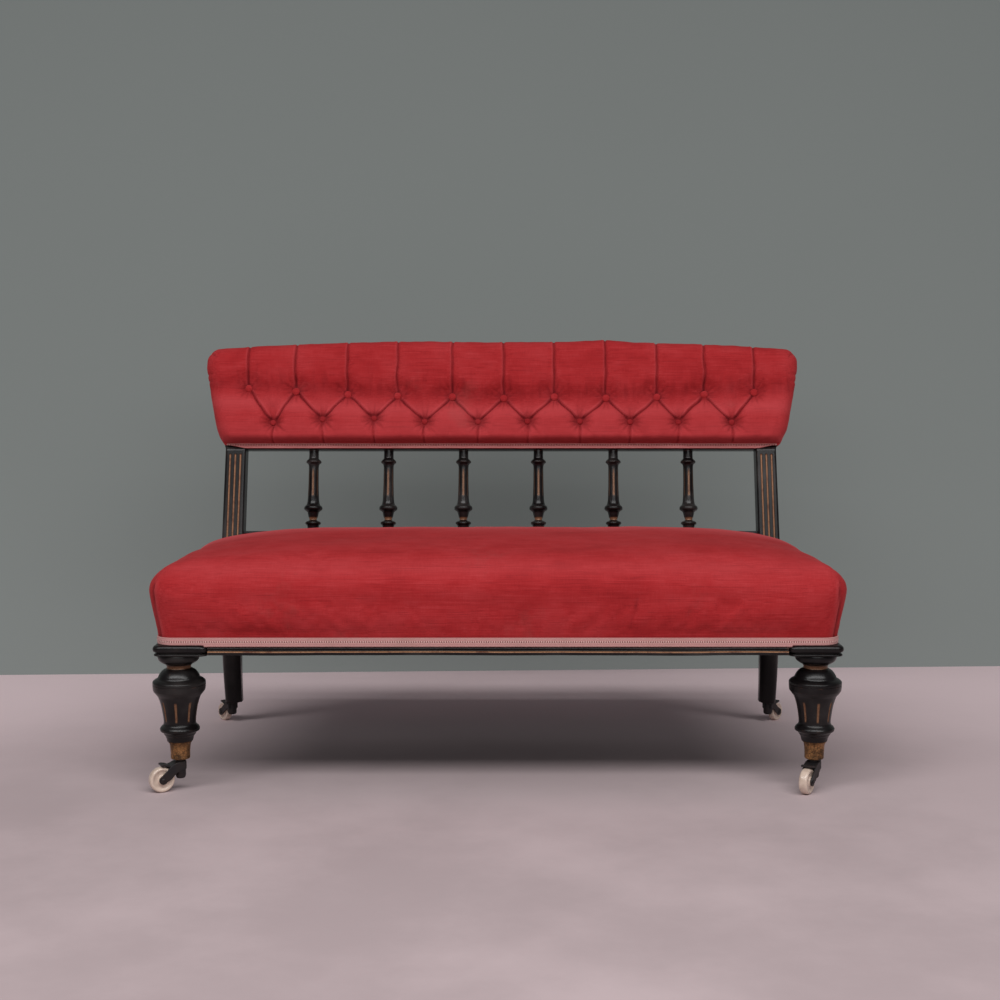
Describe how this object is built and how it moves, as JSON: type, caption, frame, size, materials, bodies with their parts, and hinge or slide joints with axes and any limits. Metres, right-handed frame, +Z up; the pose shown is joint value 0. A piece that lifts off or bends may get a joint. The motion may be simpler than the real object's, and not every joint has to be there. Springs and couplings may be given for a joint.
{
  "type": "button-back settee",
  "caption": "Low Victorian settee: deep-buttoned red velvet back over turned spindles, sprung seat, turned and sabre legs on swivelling casters.",
  "frame": {"origin": "on the floor under the middle of the settee's bounding box", "axes": "+X along the settee's length, +Y to its back, +Z up; a sitter faces -Y"},
  "size_m": [1.2012, 0.6257, 0.7871],
  "materials": {
    "ebonised_wood": "ebonised, semi-gloss, with gilt flutes",
    "ebonised_rail": "beech, ebonised on its show-wood lip",
    "beech": "sawn, unfinished",
    "red_velvet": "plush pile with a soft sheen",
    "gimp_braid": "woven braid, matte",
    "jute": "coarse plain weave",
    "hair_stuffing": "curled hair, matte",
    "black_cloth": "plain weave, matte",
    "spring_steel": "copper-washed wire",
    "brass": "aged, dull",
    "black_iron": "blackened, satin",
    "porcelain": "glazed, off-white"
  },
  "bodies": {
    "frame": {"front_leg_left": "ebonised_wood", "front_leg_right": "ebonised_wood", "back_post_left": "ebonised_wood", "back_post_right": "ebonised_wood", "stay_rail": "ebonised_wood", "middle_rail": "ebonised_wood", "spindle_1": "ebonised_wood", "spindle_2": "ebonised_wood", "spindle_3": "ebonised_wood", "spindle_4": "ebonised_wood", "spindle_5": "ebonised_wood", "spindle_6": "ebonised_wood", "front_rail": "ebonised_rail", "rear_rail": "ebonised_rail", "side_rail_left": "ebonised_rail", "side_rail_right": "ebonised_rail", "crest_rail": "beech", "corner_brace_front_left": "beech", "corner_brace_front_right": "beech", "corner_brace_rear_left": "beech", "corner_brace_rear_right": "beech", "front_left_caster_cup": "brass", "front_right_caster_cup": "brass", "rear_left_caster_plate": "black_iron", "rear_right_caster_plate": "black_iron", "seat_webbing": "jute", "seat_hessian": "jute", "back_hessian": "jute", "seat_stuffing": "hair_stuffing", "back_stuffing": "hair_stuffing", "seat_cover": "red_velvet", "back_cover": "red_velvet", "outside_back": "red_velvet", "seat_braid": "gimp_braid", "seat_braid_rear": "gimp_braid", "back_braid": "gimp_braid", "back_rim_braid": "gimp_braid", "bottom_cloth": "black_cloth", "spring_1_1": "spring_steel", "spring_1_2": "spring_steel", "spring_1_3": "spring_steel", "spring_2_1": "spring_steel", "spring_2_2": "spring_steel", "spring_2_3": "spring_steel"},
    "front_left_fork_body": {"front_left_fork": "black_iron", "front_left_axle": "black_iron"},
    "front_left_wheel_body": {"front_left_wheel": "porcelain"},
    "front_right_fork_body": {"front_right_fork": "black_iron", "front_right_axle": "black_iron"},
    "front_right_wheel_body": {"front_right_wheel": "porcelain"},
    "rear_left_fork_body": {"rear_left_fork": "black_iron", "rear_left_axle": "black_iron"},
    "rear_left_wheel_body": {"rear_left_wheel": "porcelain"},
    "rear_right_fork_body": {"rear_right_fork": "black_iron", "rear_right_axle": "black_iron"},
    "rear_right_wheel_body": {"rear_right_wheel": "porcelain"}
  },
  "joints": [
    {"name": "front_left_swivel", "type": "hinge", "parent": "frame", "child": "front_left_fork_body", "pos_m": [-0.55, -0.2628, 0.05], "axis": [0, 0, 1], "continuous": true},
    {"name": "front_left_roll", "type": "hinge", "parent": "front_left_fork_body", "child": "front_left_wheel_body", "pos_m": [-0.57944, -0.2798, 0.022], "axis": [0.5, -0.866, 0], "continuous": true},
    {"name": "front_right_swivel", "type": "hinge", "parent": "frame", "child": "front_right_fork_body", "pos_m": [0.55, -0.2628, 0.05], "axis": [0, 0, 1], "continuous": true},
    {"name": "front_right_roll", "type": "hinge", "parent": "front_right_fork_body", "child": "front_right_wheel_body", "pos_m": [0.53249, -0.29194, 0.022], "axis": [0.8572, -0.515, 0], "continuous": true},
    {"name": "rear_left_swivel", "type": "hinge", "parent": "frame", "child": "rear_left_fork_body", "pos_m": [-0.555, 0.25691, 0.0405], "axis": [0, 0, 1], "continuous": true},
    {"name": "rear_left_roll", "type": "hinge", "parent": "rear_left_fork_body", "child": "rear_left_wheel_body", "pos_m": [-0.57403, 0.2788, 0.0185], "axis": [-0.7547, -0.6561, 0], "continuous": true},
    {"name": "rear_right_swivel", "type": "hinge", "parent": "frame", "child": "rear_right_fork_body", "pos_m": [0.555, 0.25691, 0.0405], "axis": [0, 0, 1], "continuous": true},
    {"name": "rear_right_roll", "type": "hinge", "parent": "rear_right_fork_body", "child": "rear_right_wheel_body", "pos_m": [0.57403, 0.2788, 0.0185], "axis": [-0.7547, 0.6561, 0], "continuous": true}
  ]
}
